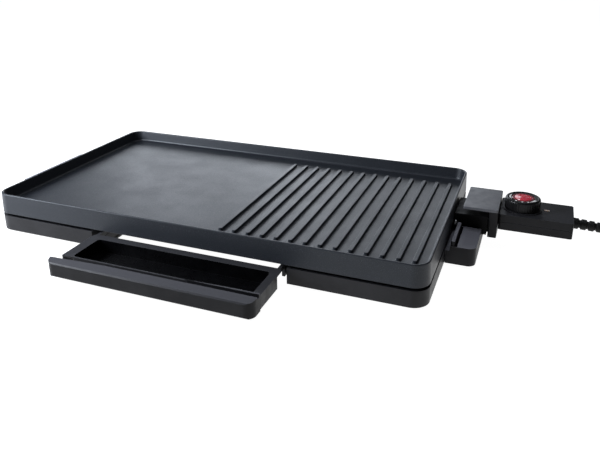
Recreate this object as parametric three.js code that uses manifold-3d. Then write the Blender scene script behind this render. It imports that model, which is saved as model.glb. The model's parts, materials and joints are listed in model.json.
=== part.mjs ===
// Electric table griddle: cast plate, half smooth and half ribbed, on a base with a drip tray,
// two side handles and a plug-in thermostat controller.
// Millimetres. +X runs along the long side towards the controller, +Y to the rear, +Z up.
import * as THREE from 'three';
import { mergeVertices } from 'three/addons/utils/BufferGeometryUtils.js';
import Module from 'manifold-3d';

const wasm = await Module();
wasm.setup();

// ---- Driving dimensions (x = 0 at the plate's left side, y = 0 at its front, z = 0 at the base's underside)
const GAP = 0.3; // between pieces that touch
const LENGTH = 480; // plate and base
const WIDTH = 264.4;
const CORNER_R = 16;
const FOOT_HEIGHT = 3;

const RIM_Z = 41.8;
const SKIRT_Z = 19.4; // lower edge of the plate's skirt
const FLOOR_Z = 28.6; // cooking surface
const PLATE_UNDER_Z = 25.4;
const RIM_WALL = 3;
const PAN_INSET = 4;
const RIB_COUNT = 14;
const RIB_PITCH = 15.18;
const FIRST_RIB_X = 265.2;
const RIB_WIDTH = 5;
const RIB_HEIGHT = 3;
const RIB_FRONT_Y = 27;
const RIB_REAR_Y = 235;
const DRAIN = { x: 240, y: 17, length: 26, width: 7 };

const BASE_TOP_Z = 16.5;
const BASE_WALL = 2.5;
const BAY = { left: 128, right: 349, depth: 88 }; // front opening for the drip tray
const BAY_LEDGE = { left: 141, right: 341 }; // inner edges of the floor on either side of the tray
const RAIL_WIDTH = 3.2;
const RAIL_LEDGE_Z = 12;
const RAIL_FRONT_Y = 7; // clear of the rounded ends of the tray's front when it is pushed in
const SHIELD = { x0: 45, x1: 435, y0: 92, y1: 250, z: 11, sheet: 0.8, lip: 6, r: 8 };
const POST_R = 6;
const BOSS_R = 4;

const TRAY_FRONT_Y = -70;
const TRAY_LEDGE_Y = -53; // rear of the tray's front piece
const TRAY_REAR_Y = -3;
const TRAY_BODY = { left: 145, right: 340, rear: -10.5 };
const TRAY_RIM = { left: 135, right: 346.4, top: 16.5, under: 14.9 };
const TRAY_SKIRT = { wall: 1.8, bottom: 2.9, rear: -16 }; // turned down from the rim's sides
const TRAY_FRONT = { left: 128.6, right: 346.4, bottom: 1.4, lip: 16.6, crest: 18, ridge: 18.9 };
const TRAY_BOTTOM_Z = 1.6;
const SHEET = 1.5;
const TRAY_SKIN = 3; // thickness of the tray's front where it covers the rails
const RUNNER_TIP_Y = 13; // the tray's runners stay on the rails when it is pulled out

const AXIS_Y = 171; // connector axis
const AXIS_Z = 21.85;
const PIN_SPREAD = 13; // each terminal pin from the connector axis
const ELEMENT_R = 3.25;
const PIN_R = 2;
const PIN_TIP_X = 508;
const GUARD = { x0: 480.3, x1: 514, y0: 148, y1: 194, z0: 12, z1: 32, wall: 1.5 };
const HANDLE_OUT = 29.5; // reach beyond the plate
const HANDLE_TOP_Z = 19;
const HANDLE_R = 8;

const ROOF = { x0: 489, x1: 524.3, y0: 145, y1: 205.5, z0: 39, z1: 42 };
const NECK = { x0: 515.3, z0: 10.6, z1: 38.7 };
const BODY = { x0: 524.8, x1: 597, y0: 150, y1: 199, z0: 19.5, split: 28, z1: 36.6, wall: 2 };
const BODY_Y = (BODY.y0 + BODY.y1) / 2;
const KNOB = { x: 546.3, r: 18, z0: 37.7, z1: 49.2, teeth: 40 };
const COLLAR = { r: 19.8, height: 0.8 }; // round step under the knob
const LENS_X = 571;
const CORD_Z = 28;
const STRAIN_TIP_X = 636;
const CORD_DROOP = (3 * Math.PI) / 180; // the strain relief leans down by this
const CORD_R = 3.5;

// The cord's own line, in the same millimetres, chosen by hand: straight out of the strain relief,
// down to the surface, and along it to the coil.
const CORD_POINTS = [
  [600, BODY_Y, 27.84],
  [618, BODY_Y, 26.9],
  [638, BODY_Y, 25.85],
  [650, BODY_Y - 0.3, 24.1],
  [661, BODY_Y - 0.8, 19.6],
  [672, BODY_Y - 1.2, 13],
  [683, BODY_Y - 1.5, 6.4],
  [694, BODY_Y - 1.7, 2],
  [704, BODY_Y - 1.8, 0.8],
  [711, BODY_Y - 1.8, 0.6],
];
const COIL = { x: 714, outer: 48.5, inner: 27.5, height: 14 };
const SURFACE_Z = -FOOT_HEIGHT;

// ---- Shapes and solids
function roundedRectangle(x0, y0, x1, y1, r) {
  const shape = new THREE.Shape();
  shape.absarc(x1 - r, y0 + r, r, -Math.PI / 2, 0);
  shape.absarc(x1 - r, y1 - r, r, 0, Math.PI / 2);
  shape.absarc(x0 + r, y1 - r, r, Math.PI / 2, Math.PI);
  shape.absarc(x0 + r, y0 + r, r, Math.PI, 1.5 * Math.PI);
  return shape;
}

function polygon(points) {
  return new THREE.Shape(points.map(([x, y]) => new THREE.Vector2(x, y)));
}

// A plan outline raised from z0 to z1.
function slab(shape, z0, z1, curveSegments = 6) {
  const geometry = new THREE.ExtrudeGeometry(shape, { depth: z1 - z0, bevelEnabled: false, curveSegments });
  geometry.translate(0, 0, z0);
  return geometry;
}

function block(x0, x1, y0, y1, z0, z1) {
  return slab(polygon([[x0, y0], [x1, y0], [x1, y1], [x0, y1]]), z0, z1);
}

// A profile in the Y-Z plane, run along X from x0 to x1.
function runAlongX(shape, x0, x1, curveSegments = 6) {
  const geometry = new THREE.ExtrudeGeometry(shape, { depth: x1 - x0, bevelEnabled: false, curveSegments });
  geometry.rotateY(Math.PI / 2);
  geometry.rotateX(Math.PI / 2);
  geometry.translate(x0, 0, 0);
  return geometry;
}

// A profile of [radius, height] pairs, turned about Z and stood at (x, y).
function turned(profile, x, y, sides = 16) {
  const points = profile.map(([r, z]) => new THREE.Vector2(r, z));
  const geometry = new THREE.LatheGeometry(points, sides);
  geometry.rotateX(Math.PI / 2);
  geometry.translate(x, y, 0);
  return geometry;
}

function cylinder(r, z0, z1, x, y, sides = 16) {
  return turned([[0, z0], [r, z0], [r, z1], [0, z1]], x, y, sides);
}

// The same, lying along X from x0 to x1, with its axis at (y, z).
function turnedAlongX(profile, y, z, sides = 16) {
  const geometry = turned(profile, 0, 0, sides);
  geometry.rotateY(Math.PI / 2);
  geometry.translate(0, y, z);
  return geometry;
}

function rodAlongX(r, x0, x1, y, z, sides = 16) {
  return turnedAlongX([[0, x0], [r, x0], [r, x1], [0, x1]], y, z, sides);
}

function tubeAlongX(r, bore, x0, x1, y, z, sides = 16) {
  return turnedAlongX([[bore, x0], [r, x0], [r, x1], [bore, x1], [bore, x0]], y, z, sides);
}

function rodAlongY(r, y0, y1, x, z, sides = 16) {
  const geometry = cylinder(r, -y1, -y0, 0, 0, sides);
  geometry.rotateX(Math.PI / 2);
  geometry.translate(x, 0, z);
  return geometry;
}

function toSolid(geometry) {
  const bare = geometry.clone();
  bare.deleteAttribute('normal');
  bare.deleteAttribute('uv');
  const merged = mergeVertices(bare, 1e-4);
  return new wasm.Manifold(new wasm.Mesh({
    numProp: 3,
    vertProperties: new Float32Array(merged.attributes.position.array),
    triVerts: new Uint32Array(merged.index.array),
  }));
}

function toGeometry(solid) {
  const mesh = solid.getMesh();
  const geometry = new THREE.BufferGeometry();
  geometry.setAttribute('position', new THREE.BufferAttribute(mesh.vertProperties, 3));
  geometry.setIndex(new THREE.BufferAttribute(mesh.triVerts, 1));
  const flat = geometry.toNonIndexed();
  flat.computeVertexNormals();
  return flat;
}

function join(first, ...others) {
  return toGeometry(others.reduce((solid, other) => solid.add(toSolid(other)), toSolid(first)));
}

function cut(first, ...tools) {
  return toGeometry(tools.reduce((solid, tool) => solid.subtract(toSolid(tool)), toSolid(first)));
}

// ---- Materials
const LOOKS = {
  nonstick: { color: 0x53585f, roughness: 0.45, metalness: 0.3 },
  plastic: { color: 0x232327, roughness: 0.5, metalness: 0 },
  softPlastic: { color: 0x3a3a3e, roughness: 0.6, metalness: 0 },
  roof: { color: 0x5c5d66, roughness: 0.45, metalness: 0 },
  gloss: { color: 0x0c0c0e, roughness: 0.25, metalness: 0 },
  steel: { color: 0xa9abae, roughness: 0.35, metalness: 1 },
  aluminised: { color: 0x9a9c9e, roughness: 0.5, metalness: 1 },
  sheath: { color: 0x5d564e, roughness: 0.6, metalness: 0.8 },
  brass: { color: 0xb9974a, roughness: 0.35, metalness: 1 },
  ceramic: { color: 0xe6e1d6, roughness: 0.6, metalness: 0 },
  rubber: { color: 0x161616, roughness: 0.85, metalness: 0 },
  redLens: { color: 0xa82030, roughness: 0.2, metalness: 0 },
  paleLens: { color: 0xd9b8a8, roughness: 0.2, metalness: 0 },
};

function piece(name, geometry, look) {
  const mesh = new THREE.Mesh(geometry, new THREE.MeshStandardMaterial(LOOKS[look]));
  mesh.name = name;
  return mesh;
}

// A pan-head screw standing along +Z with its shank down: head on z = 0, shank to -length.
function screwGeometry(shankR, headR, length, headHeight) {
  return turned([
    [0, -length],
    [shankR, -length],
    [shankR, 0],
    [headR, 0],
    [headR, headHeight * 0.6],
    [headR * 0.7, headHeight],
    [0, headHeight],
  ], 0, 0, 12);
}

// ---- Plate group
const ribCentres = Array.from({ length: RIB_COUNT }, (_, i) => FIRST_RIB_X + i * RIB_PITCH);
const pinYs = [AXIS_Y - PIN_SPREAD, AXIS_Y + PIN_SPREAD];
const GUARD_SCREW_Z = 22.6;
const guardScrewYs = [GUARD.y0 - 3.2, GUARD.y1 + 3.2];

function ribGeometry(x) {
  const half = RIB_WIDTH / 2;
  const outline = roundedRectangle(x - half, RIB_FRONT_Y, x + half, RIB_REAR_Y, half);
  return slab(outline, FLOOR_Z - 0.8, FLOOR_Z + RIB_HEIGHT, 3);
}

function plateGeometry() {
  const outer = slab(roundedRectangle(0, 0, LENGTH, WIDTH, CORNER_R), SKIRT_Z, RIM_Z);
  const pan = slab(
    roundedRectangle(PAN_INSET, PAN_INSET, LENGTH - PAN_INSET, WIDTH - PAN_INSET, CORNER_R - PAN_INSET),
    FLOOR_Z, RIM_Z + 1,
  );
  const under = slab(
    roundedRectangle(RIM_WALL, RIM_WALL, LENGTH - RIM_WALL, WIDTH - RIM_WALL, CORNER_R - RIM_WALL),
    SKIRT_Z - 1, PLATE_UNDER_Z,
  );
  const drain = slab(
    roundedRectangle(
      DRAIN.x - DRAIN.length / 2, DRAIN.y - DRAIN.width / 2,
      DRAIN.x + DRAIN.length / 2, DRAIN.y + DRAIN.width / 2, DRAIN.width / 2,
    ),
    PLATE_UNDER_Z - 1, FLOOR_Z + 1, 4,
  );
  const notch = block(
    LENGTH - RIM_WALL - 1, LENGTH + 1, pinYs[0] - 6, pinYs[1] + 6, SKIRT_Z - 1, PLATE_UNDER_Z - 0.2,
  );
  const screwHoles = guardScrewYs.map((y) => (
    rodAlongX(2, LENGTH - RIM_WALL - 1, LENGTH + 1, y, GUARD_SCREW_Z, 12)
  ));
  const clipHoles = clipPlaces.map(({ x, y }) => (
    cylinder(CLIP_SCREW_R + GAP, PLATE_UNDER_Z - 1, FLOOR_Z - 0.7, x, y, 12)
  ));
  const bored = cut(outer, pan, under, drain, notch, ...screwHoles, ...clipHoles);
  return join(bored, ...ribCentres.map(ribGeometry));
}

// The element is one loop under the plate, from one terminal round to the other.
const LOOP = { left: 62, right: 436, front: 98, rear: 236, r: 26 };
const COLD_END_X = 484;

function elementPath() {
  const path = new THREE.CurvePath();
  const z = AXIS_Z;
  const v = (x, y) => new THREE.Vector3(x, y, z);
  const line = (a, b) => path.add(new THREE.LineCurve3(a, b));
  const bend = (a, corner, b) => path.add(new THREE.QuadraticBezierCurve3(a, corner, b));
  const { left, right, front, rear, r } = LOOP;
  const [y0, y1] = pinYs;
  line(v(COLD_END_X, y0), v(right + r, y0));
  bend(v(right + r, y0), v(right, y0), v(right, y0 - r));
  line(v(right, y0 - r), v(right, front + r));
  bend(v(right, front + r), v(right, front), v(right - r, front));
  line(v(right - r, front), v(left + r, front));
  bend(v(left + r, front), v(left, front), v(left, front + r));
  line(v(left, front + r), v(left, rear - r));
  bend(v(left, rear - r), v(left, rear), v(left + r, rear));
  line(v(left + r, rear), v(right - r, rear));
  bend(v(right - r, rear), v(right, rear), v(right, rear - r));
  bend(v(right, rear - r), v(right, y1), v(right + r, y1));
  line(v(right + r, y1), v(COLD_END_X, y1));
  return path;
}

// Cross-sections stand only where the loop turns, so its straight legs stay plain.
function sweep(path, r, sides, stepsOf) {
  const stations = [];
  path.curves.forEach((curve, i) => {
    const steps = stepsOf(curve);
    const count = i === path.curves.length - 1 ? steps + 1 : steps;
    for (let k = 0; k < count; k += 1) {
      stations.push([curve.getPoint(k / steps), curve.getTangent(k / steps)]);
    }
  });
  return ringSolid(stations, r, sides);
}

// A closed tube through stations of [centre, direction], for a line that stays near level.
function ringSolid(stations, r, sides) {
  const positions = [];
  const up = new THREE.Vector3(0, 0, 1);
  for (const [centre, direction] of stations) {
    const side = new THREE.Vector3().crossVectors(direction, up).normalize();
    const top = new THREE.Vector3().crossVectors(side, direction).normalize();
    for (let k = 0; k < sides; k += 1) {
      const angle = (k / sides) * 2 * Math.PI;
      const p = centre.clone();
      p.addScaledVector(side, r * Math.cos(angle));
      p.addScaledVector(top, r * Math.sin(angle));
      positions.push(p.x, p.y, p.z);
    }
  }
  const index = [];
  const last = stations.length - 1;
  for (let i = 0; i < last; i += 1) {
    for (let k = 0; k < sides; k += 1) {
      const a = i * sides + k;
      const b = i * sides + ((k + 1) % sides);
      index.push(a, b + sides, b, a, a + sides, b + sides);
    }
  }
  for (let k = 1; k < sides - 1; k += 1) {
    index.push(0, k, k + 1);
    index.push(last * sides, last * sides + k + 1, last * sides + k);
  }
  const geometry = new THREE.BufferGeometry();
  geometry.setAttribute('position', new THREE.Float32BufferAttribute(positions, 3));
  geometry.setIndex(index);
  geometry.computeVertexNormals();
  return geometry;
}

const BEND_STEPS = 5;

function elementGeometry() {
  return sweep(elementPath(), ELEMENT_R, 10, (curve) => (curve.isLineCurve3 ? 1 : BEND_STEPS));
}

// Straps under the two long legs of the loop, each with one screw up into the casting.
const CLIP_SCREW_R = 1.5;
const CLIP_SCREW_DY = 9;
const clipPlaces = [
  { x: 250, y: LOOP.front + CLIP_SCREW_DY, leg: LOOP.front },
  { x: 250, y: LOOP.rear - CLIP_SCREW_DY, leg: LOOP.rear, flip: true },
];

function clipGeometry({ x, leg, flip }) {
  const t = 1;
  const r = ELEMENT_R + GAP;
  const top = PLATE_UNDER_Z - GAP;
  const low = AXIS_Z - r;
  const way = flip ? -1 : 1;
  const outline = [
    [-r - t, top], [-r - t, low - t], [r + t, low - t], [r + t, top - t], [14, top - t], [14, top],
    [r, top], [r, low], [-r, low], [-r, top],
  ].map(([y, z]) => [leg + way * y, z]);
  const strap = runAlongX(polygon(way > 0 ? outline : outline.reverse()), x - 5, x + 5);
  return cut(strap, cylinder(CLIP_SCREW_R + GAP, top - t - 1, top + 1, x, leg + way * CLIP_SCREW_DY, 12));
}

function clipScrewGeometry({ x, y }) {
  const geometry = screwGeometry(CLIP_SCREW_R, 3, 3.6, 1.8);
  geometry.rotateX(Math.PI);
  geometry.translate(x, y, PLATE_UNDER_Z - GAP - 1 - GAP);
  return geometry;
}

function guardGeometry() {
  const { x0, x1, y0, y1, z0, z1, wall } = GUARD;
  const outer = block(x0, x1, y0, y1, z0, z1);
  const flange = block(x0, x0 + wall, y0 - 7, y1 + 7, SKIRT_Z + 0.2, PLATE_UNDER_Z + 1);
  const inner = block(x0 + wall, x1 + 1, y0 + wall, y1 - wall, z0 + wall, z1 - wall);
  const holes = [
    ...pinYs.map((y) => rodAlongX(ELEMENT_R + GAP, x0 - 1, x0 + wall + 1, y, AXIS_Z)),
    ...guardScrewYs.map((y) => rodAlongX(2, x0 - 1, x0 + wall + 1, y, GUARD_SCREW_Z, 12)),
    rodAlongX(SLEEVE_R + GAP, x0 - 1, x0 + wall + 1, AXIS_Y, PROBE_Z),
  ];
  return cut(join(outer, flange), inner, ...holes);
}

const PROBE_R = 3;
const PROBE_Z = 21;
const SLEEVE_R = 4.1;

function guardScrewGeometry(y) {
  const geometry = screwGeometry(1.7, 3, 7, 1.8);
  geometry.rotateY(Math.PI / 2);
  geometry.translate(GUARD.x0 + GUARD.wall + GAP, y, GUARD_SCREW_Z);
  return geometry;
}

function plateGroup() {
  const group = new THREE.Group();
  group.add(piece('griddle_plate', plateGeometry(), 'nonstick'));
  group.add(piece('heating_element', elementGeometry(), 'sheath'));
  clipPlaces.forEach((place, i) => {
    group.add(piece(`element_clip_${i + 1}`, clipGeometry(place), 'steel'));
    group.add(piece(`element_clip_screw_${i + 1}`, clipScrewGeometry(place), 'steel'));
  });
  pinYs.forEach((y, i) => {
    const bead = tubeAlongX(ELEMENT_R, PIN_R + GAP, COLD_END_X + GAP, COLD_END_X + 3.3, y, AXIS_Z);
    group.add(piece(`terminal_insulator_${i + 1}`, bead, 'ceramic'));
    const pin = rodAlongX(PIN_R, COLD_END_X + GAP, PIN_TIP_X, y, AXIS_Z, 12);
    group.add(piece(`terminal_pin_${i + 1}`, pin, 'steel'));
  });
  group.add(piece('probe_sleeve', tubeAlongX(SLEEVE_R, PROBE_R + 0.5, 440, 484, AXIS_Y, PROBE_Z), 'steel'));
  group.add(piece('terminal_guard', guardGeometry(), 'plastic'));
  guardScrewYs.forEach((y, i) => group.add(piece(`guard_screw_${i + 1}`, guardScrewGeometry(y), 'steel')));
  return group;
}

// ---- Base group
const footPlaces = [[68, 14], [441, 14], [68, WIDTH - 14], [441, WIDTH - 14]];
const postPlaces = [[26, 40], [454, 40], [26, 224], [454, 224]];
const bossPlaces = [[140, 168], [340, 168]];
const FLOOR_PANEL = 2.5;
const HANDLE_SCREW_Z = 6;
const HANDLES = {
  right: { y0: 94, y1: 192, step: 145.6, guardTop: 24, inner: LENGTH + GAP, way: 1 },
  left: { y0: 52, y1: 155, step: null, guardTop: 38, inner: -GAP, way: -1 },
};
const handleScrewYs = ({ y0, y1 }) => [y0 + 5.5, y1 - 5.5];

function ventShapes() {
  const shapes = [];
  for (const [x0, x1] of [[30, 112], [366, 448]]) {
    for (const y of [60, 84, 108, 132, 156, 180, 204]) {
      shapes.push(slab(roundedRectangle(x0, y - 3, x1, y + 3, 3), -1, FLOOR_PANEL + 1, 3));
    }
  }
  return shapes;
}

function baseGeometry() {
  const outer = slab(roundedRectangle(0, 0, LENGTH, WIDTH, CORNER_R), 0, BASE_TOP_Z);
  const inner = slab(
    roundedRectangle(BASE_WALL, BASE_WALL, LENGTH - BASE_WALL, WIDTH - BASE_WALL, CORNER_R - BASE_WALL),
    FLOOR_PANEL, BASE_TOP_Z + 1,
  );
  const mouth = block(BAY.left, BAY.right, -1, TRAY_SKIN + GAP, -1, BASE_TOP_Z + 1);
  const frontRoom = block(BAY.left, BAY.right, -1, TRAY_LEDGE_Y - TRAY_FRONT_Y + GAP, -1, FLOOR_PANEL + 1);
  const bay = block(BAY_LEDGE.left, BAY_LEDGE.right, -1, BAY.depth, -1, FLOOR_PANEL + 1);
  const cheeks = [BAY.left - BASE_WALL, BAY.right].map((x) => (
    block(x, x + BASE_WALL, 0, BAY.depth, 0, BASE_TOP_Z)
  ));
  const footHoles = footPlaces.map(([x, y]) => cylinder(3, -1, FLOOR_PANEL + 1, x, y, 12));
  const handleHoles = Object.values(HANDLES).flatMap((handle) => handleScrewYs(handle).map((y) => (
    rodAlongX(2, handle.inner - 5, handle.inner + 5, y, HANDLE_SCREW_Z, 12)
  )));
  const tub = cut(outer, inner, mouth, frontRoom, bay, ...ventShapes(), ...footHoles, ...handleHoles);
  const posts = postPlaces.map(([x, y]) => cylinder(POST_R, FLOOR_PANEL - 1, PLATE_UNDER_Z - GAP, x, y));
  const bosses = bossPlaces.map(([x, y]) => cylinder(BOSS_R, FLOOR_PANEL - 1, SHIELD.z - GAP, x, y));
  const bored = join(tub, ...cheeks, ...posts, ...bosses);
  return cut(bored, ...bossPlaces.map(([x, y]) => cylinder(1.8, FLOOR_PANEL + 1, SHIELD.z, x, y, 12)));
}

// Upright webs that the tray's runners slide on, each just inside a skirt of the tray.
const railXs = {
  left: TRAY_RIM.left + TRAY_SKIRT.wall + GAP,
  right: TRAY_RIM.right - TRAY_SKIRT.wall - GAP - RAIL_WIDTH,
};

function railGeometry(x) {
  const rear = BAY.depth - 2;
  return block(x, x + RAIL_WIDTH, RAIL_FRONT_Y, rear, FLOOR_PANEL + GAP, RAIL_LEDGE_Z);
}

function shieldGeometry() {
  const { x0, x1, y0, y1, z, sheet, lip, r } = SHIELD;
  const outer = slab(roundedRectangle(x0, y0, x1, y1, r), z, z + lip, 3);
  const inner = slab(
    roundedRectangle(x0 + sheet, y0 + sheet, x1 - sheet, y1 - sheet, r - sheet),
    z + sheet, z + lip + 1, 3,
  );
  return cut(outer, inner, ...bossPlaces.map(([x, y]) => cylinder(2, z - 1, z + sheet + 1, x, y, 12)));
}

function footGeometry([x, y]) {
  return turned([
    [0, -FOOT_HEIGHT], [7.4, -FOOT_HEIGHT], [8, -FOOT_HEIGHT + 0.6], [8, -GAP], [2.6, -GAP],
    [2.6, FLOOR_PANEL + GAP], [4, FLOOR_PANEL + GAP], [3, FLOOR_PANEL + 2.2], [0, FLOOR_PANEL + 2.2],
  ], x, y, 16);
}

// The outline has its outer corners rounded and its inner ones square against the base.
function handleOutline({ y0, y1, inner, way }) {
  const outer = (way > 0 ? LENGTH : 0) + way * HANDLE_OUT;
  const r = HANDLE_R;
  const side = way > 0 ? 0 : -Math.PI;
  const shape = new THREE.Shape();
  shape.moveTo(inner, y0);
  shape.lineTo(outer - way * r, y0);
  shape.absarc(outer - way * r, y0 + r, r, -Math.PI / 2, side, way < 0);
  shape.absarc(outer - way * r, y1 - r, r, side, way > 0 ? Math.PI / 2 : -1.5 * Math.PI, way < 0);
  shape.lineTo(inner, y1);
  return shape;
}

const GUARD_STRIP = { near: 5, far: 9, floor: 10 }; // distances out from the plate's end
const GROOVE_FAR = 11.2;
const SIDE_LEDGE_Z = 14;

function handleGeometry(handle) {
  const { y0, y1, step, way } = handle;
  const end = way > 0 ? LENGTH : 0;
  const at = (d) => end + way * d;
  const span = (d0, d1, ...rest) => block(Math.min(at(d0), at(d1)), Math.max(at(d0), at(d1)), ...rest);
  const tools = [
    span(-1, GUARD_STRIP.near - 0.6, y0 - 1, y1 + 1, SIDE_LEDGE_Z, HANDLE_TOP_Z + 1),
    span(GUARD_STRIP.near - GAP, GROOVE_FAR, y0 + 0.7, (step ?? y1) - 1, GUARD_STRIP.floor, HANDLE_TOP_Z + 1),
    span(4, HANDLE_OUT - 3, y0 + 11, y1 - 11, -1, 8),
    ...handleScrewYs(handle).map((y) => (
      rodAlongX(2, handle.inner - 14, handle.inner + 14, y, HANDLE_SCREW_Z, 12)
    )),
  ];
  if (step) tools.push(span(-1, HANDLE_OUT + 1, step, y1 + 1, GUARD.z0 - 0.6, HANDLE_TOP_Z + 1));
  return cut(slab(handleOutline(handle), 0, HANDLE_TOP_Z), ...tools);
}

function handleGuardGeometry({ y0, y1, step, way, guardTop }) {
  const end = way > 0 ? LENGTH : 0;
  const xs = [end + way * GUARD_STRIP.near, end + way * GUARD_STRIP.far];
  const outline = roundedRectangle(Math.min(...xs), y0 + 1, Math.max(...xs), (step ?? y1) - 1.3, 1.5);
  return slab(outline, GUARD_STRIP.floor + GAP, guardTop, 2);
}

function handleScrewGeometry(y, { inner, way }) {
  const geometry = screwGeometry(1.7, 3.2, 12, 2);
  geometry.rotateY(way > 0 ? -Math.PI / 2 : Math.PI / 2);
  geometry.translate(inner - way * (BASE_WALL + 2 * GAP), y, HANDLE_SCREW_Z);
  return geometry;
}

function shieldScrewGeometry([x, y]) {
  const geometry = screwGeometry(1.5, 3, 6, 1.8);
  geometry.translate(x, y, SHIELD.z + SHIELD.sheet + GAP);
  return geometry;
}

function baseGroup() {
  const group = new THREE.Group();
  group.add(piece('base_frame', baseGeometry(), 'plastic'));
  for (const [side, x] of Object.entries(railXs)) {
    group.add(piece(`tray_rail_${side}`, railGeometry(x), 'plastic'));
  }
  group.add(piece('heat_shield', shieldGeometry(), 'aluminised'));
  bossPlaces.forEach((place, i) => {
    group.add(piece(`shield_screw_${i + 1}`, shieldScrewGeometry(place), 'steel'));
  });
  footPlaces.forEach((place, i) => {
    group.add(piece(`foot_${i + 1}`, footGeometry(place), 'rubber'));
  });
  for (const [side, handle] of Object.entries(HANDLES)) {
    group.add(piece(`handle_${side}`, handleGeometry(handle), 'softPlastic'));
    group.add(piece(`handle_guard_${side}`, handleGuardGeometry(handle), 'softPlastic'));
    handleScrewYs(handle).forEach((y, i) => {
      group.add(piece(`handle_screw_${side}_${i + 1}`, handleScrewGeometry(y, handle), 'steel'));
    });
  }
  return group;
}

// ---- Drip tray group
const rivetXs = [190, 288];
const RIVET_Z = 9;

function trayGeometry() {
  const front = TRAY_LEDGE_Y + GAP;
  const { left, right, rear } = TRAY_BODY;
  const body = slab(roundedRectangle(left, front, right, rear, 5), TRAY_BOTTOM_Z, TRAY_RIM.top, 3);
  const rim = slab(
    roundedRectangle(TRAY_RIM.left, front, TRAY_RIM.right, TRAY_REAR_Y, 5),
    TRAY_RIM.under, TRAY_RIM.top, 3,
  );
  const squareFront = block(TRAY_RIM.left, TRAY_RIM.right, front, front + 6, TRAY_RIM.under, TRAY_RIM.top);
  const skirts = [TRAY_RIM.left, TRAY_RIM.right - TRAY_SKIRT.wall].map((x) => (
    block(x, x + TRAY_SKIRT.wall, front, TRAY_SKIRT.rear, TRAY_SKIRT.bottom, TRAY_RIM.top)
  ));
  const runners = Object.values(railXs).map((x) => (
    block(x, x + RAIL_WIDTH, TRAY_SKIRT.rear, RUNNER_TIP_Y, RAIL_LEDGE_Z + GAP, TRAY_RIM.top)
  ));
  const basin = slab(
    roundedRectangle(left + SHEET, front + SHEET, right - SHEET, rear - SHEET, 3.5),
    TRAY_BOTTOM_Z + SHEET, TRAY_RIM.top + 1, 3,
  );
  const holes = rivetXs.map((x) => rodAlongY(1.8, front - 1, front + SHEET + 1, x, RIVET_Z, 12));
  return cut(join(body, rim, squareFront, ...skirts, ...runners), basin, ...holes);
}

// The front's section: a face, a ledge that slopes up from its lip, a groove and a thin ridge.
function trayFrontGeometry() {
  const { left, right, bottom, lip, crest, ridge } = TRAY_FRONT;
  const y0 = TRAY_FRONT_Y;
  const y1 = TRAY_LEDGE_Y;
  const grooveZ = 15.6;
  const outline = polygon([
    [y0, bottom + 1.5], [y0 + 1.5, bottom], [y1, bottom], [y1, ridge], [y1 - 2, ridge],
    [y1 - 2, grooveZ], [y1 - 5.5, grooveZ], [y1 - 5.5, crest], [y0 + 1.2, lip], [y0, lip - 1.2],
  ]);
  const bar = toSolid(runAlongX(outline, left, right));
  const plan = new THREE.Shape();
  const r = 9;
  plan.moveTo(left, y1 + 1);
  plan.absarc(left + r, y0 + r, r, Math.PI, 1.5 * Math.PI);
  plan.absarc(right - r, y0 + r, r, -Math.PI / 2, 0);
  plan.lineTo(right, y1 + 1);
  const rounded = bar.intersect(toSolid(slab(plan, bottom - 1, ridge + 1)));
  const railRoom = Object.values(railXs).map((x) => toSolid(block(
    x - GAP, x + RAIL_WIDTH + GAP, y0 + RAIL_FRONT_Y - GAP, y1 + 1, bottom - 1, RAIL_LEDGE_Z + GAP,
  )));
  const holes = rivetXs.map((x) => toSolid(rodAlongY(1.8, y1 - 6, y1 + 1, x, RIVET_Z, 12)));
  return toGeometry([...railRoom, ...holes].reduce((solid, tool) => solid.subtract(tool), rounded));
}

function rivetGeometry(x) {
  const geometry = screwGeometry(1.5, 3, SHEET + 5, 1.2);
  geometry.rotateX(-Math.PI / 2);
  geometry.translate(x, TRAY_LEDGE_Y + SHEET + 2 * GAP, RIVET_Z);
  return geometry;
}

function trayGroup() {
  const group = new THREE.Group();
  group.add(piece('drip_tray', trayGeometry(), 'gloss'));
  group.add(piece('tray_front', trayFrontGeometry(), 'plastic'));
  rivetXs.forEach((x, i) => group.add(piece(`tray_rivet_${i + 1}`, rivetGeometry(x), 'steel')));
  return group;
}

// ---- Controller group
function roofGeometry() {
  const { x0, x1, y0, y1, z0, z1 } = ROOF;
  return slab(roundedRectangle(x0, y0, x1, y1, 2), z0, z1, 3);
}

// The neck closes the outer end of the guard, with openings for the carrier and the probe.
const CARRIER = { x0: 488, x1: 521, y0: AXIS_Y - 20, y1: AXIS_Y + 20, z0: 14.2, z1: 29.8 };
const SOCKET_R = 3.4;
const WIRE_WAY = { half: 5, z0: 22.4, z1: 27 };

function neckGeometry() {
  const outline = roundedRectangle(NECK.x0, ROOF.y0 + 1, ROOF.x1, ROOF.y1 - 1, 1.5);
  const outer = slab(outline, NECK.z0, NECK.z1, 2);
  const seat = block(
    NECK.x0 - 1, CARRIER.x1 + GAP, CARRIER.y0 - GAP, CARRIER.y1 + GAP, CARRIER.z0 - GAP, CARRIER.z1 + GAP,
  );
  const way = block(
    NECK.x0, ROOF.x1 + 1, AXIS_Y - WIRE_WAY.half, AXIS_Y + WIRE_WAY.half, WIRE_WAY.z0 - 5, WIRE_WAY.z1,
  );
  return cut(outer, seat, way);
}

function carrierGeometry() {
  const { x0, x1, y0, y1, z0, z1 } = CARRIER;
  return cut(
    slab(roundedRectangle(x0, y0, x1, y1, 1.5), z0, z1, 2),
    ...pinYs.map((y) => rodAlongX(SOCKET_R + GAP, x0 - 1, x0 + 27, y, AXIS_Z)),
    rodAlongX(PROBE_R + GAP, x0 - 1, x1 + 1, AXIS_Y, PROBE_Z),
  );
}

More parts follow.
